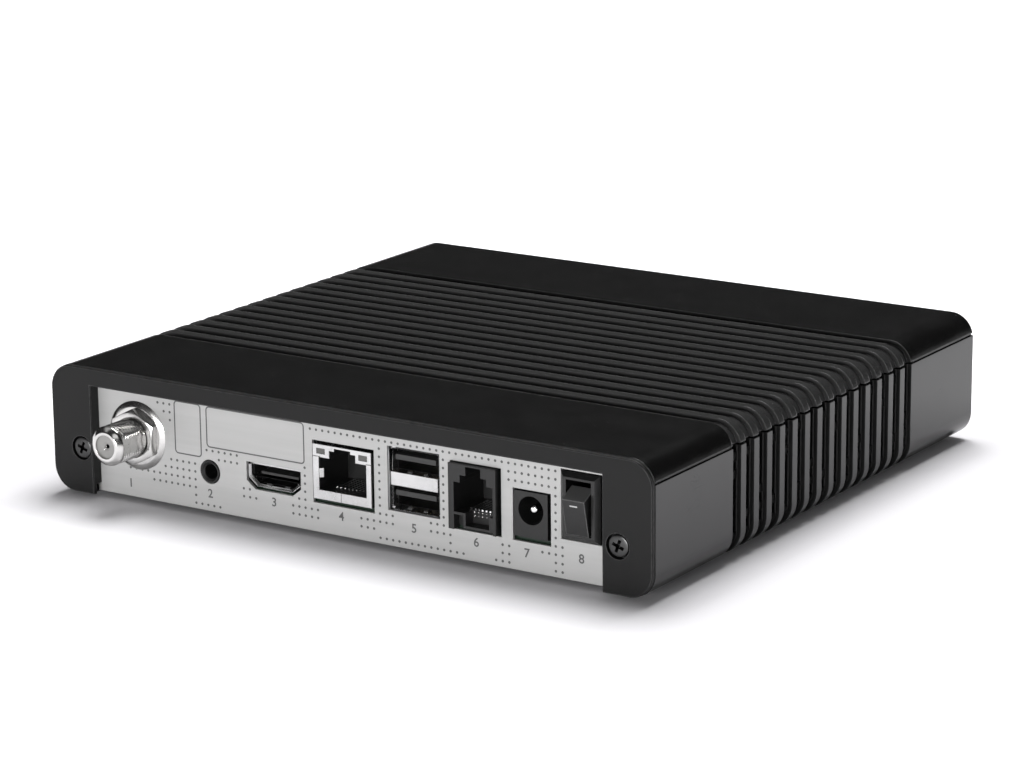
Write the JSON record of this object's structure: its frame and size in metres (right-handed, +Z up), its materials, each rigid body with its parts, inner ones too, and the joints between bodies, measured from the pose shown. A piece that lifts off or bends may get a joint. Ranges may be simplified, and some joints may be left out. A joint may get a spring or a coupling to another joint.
{
  "type": "satellite tv receiver",
  "caption": "Flat black set-top receiver with ribbed, vented case and a recessed rear panel of aerial, video, network, USB, sensor and power sockets and a rocker switch.",
  "frame": {"origin": "centre of the overall box at the soles of the feet", "axes": "+Z up, +Y out of the connector panel at the rear, +X towards the aerial side; the front panel faces -Y"},
  "size_m": [0.166, 0.1632, 0.032],
  "materials": {
    "cover_plastic": "satin",
    "base_plastic": "gloss",
    "frame_plastic": "satin",
    "front_plastic": "gloss",
    "window_smoke": "clear gloss",
    "panel_steel": "satin",
    "screw_black": "semi-gloss",
    "screw_steel": "bright",
    "foot_rubber": "matte",
    "board_green": "solder mask",
    "can_steel": "tinned",
    "nickel": "bright",
    "insulator_plastic": "satin",
    "contact_gold": "plated",
    "jack_plastic": "satin",
    "shell_steel": "bright",
    "tongue_plastic": "satin",
    "lamp_plastic": "clear",
    "pin_nickel": "bright",
    "switch_plastic": "satin",
    "rocker_plastic": "gloss",
    "chip_epoxy": "matte",
    "sink_aluminium": "anodised",
    "crystal_steel": "bright",
    "coil_ferrite": "matte",
    "capacitor_sleeve": "gloss",
    "receiver_epoxy": "gloss",
    "light_lens": "clear",
    "header_plastic": "satin",
    "ribbon_vinyl": "satin"
  },
  "bodies": {
    "receiver": {"top_cover": "cover_plastic", "base_case": "base_plastic", "rear_frame": "frame_plastic", "rear_panel": "panel_steel", "rear_frame_screws": "screw_black", "base_screws": "screw_black", "board_screws": "screw_steel", "rubber_feet": "foot_rubber", "main_board": "board_green", "tuner_can": "can_steel", "tuner_lid": "can_steel", "antenna_barrel": "nickel", "antenna_insulator": "insulator_plastic", "antenna_contact": "pin_nickel", "antenna_nut": "nickel", "antenna_washer": "nickel", "av_jack": "jack_plastic", "hdmi_shell": "shell_steel", "hdmi_tongue": "tongue_plastic", "network_shield": "shell_steel", "network_body": "jack_plastic", "network_lamps": "lamp_plastic", "network_contacts": "pin_nickel", "usb_shell": "shell_steel", "usb_tongues": "tongue_plastic", "usb_contacts": "contact_gold", "sensor_socket": "jack_plastic", "sensor_contacts": "pin_nickel", "power_inlet": "jack_plastic", "power_pin": "pin_nickel", "switch_housing": "switch_plastic", "switch_pivot": "screw_steel", "switch_terminals": "crystal_steel", "main_chip": "chip_epoxy", "heat_sink": "sink_aluminium", "memory_chips": "chip_epoxy", "flash_chip": "chip_epoxy", "network_transformer": "chip_epoxy", "crystal": "crystal_steel", "power_coils": "coil_ferrite", "power_capacitors": "capacitor_sleeve", "front_panel": "front_plastic", "front_window": "window_smoke", "front_board": "board_green", "remote_receiver": "receiver_epoxy", "status_light": "light_lens", "board_header": "header_plastic", "front_header": "header_plastic", "ribbon_cable": "ribbon_vinyl"},
    "rocker": {"switch_rocker": "rocker_plastic"}
  },
  "joints": [
    {"name": "power_rocker_hinge", "type": "hinge", "parent": "receiver", "child": "rocker", "pos_m": [-0.06335, 0.0641, 0.0184], "axis": [1, 0, 0], "range_deg": [0, 25.6]}
  ]
}
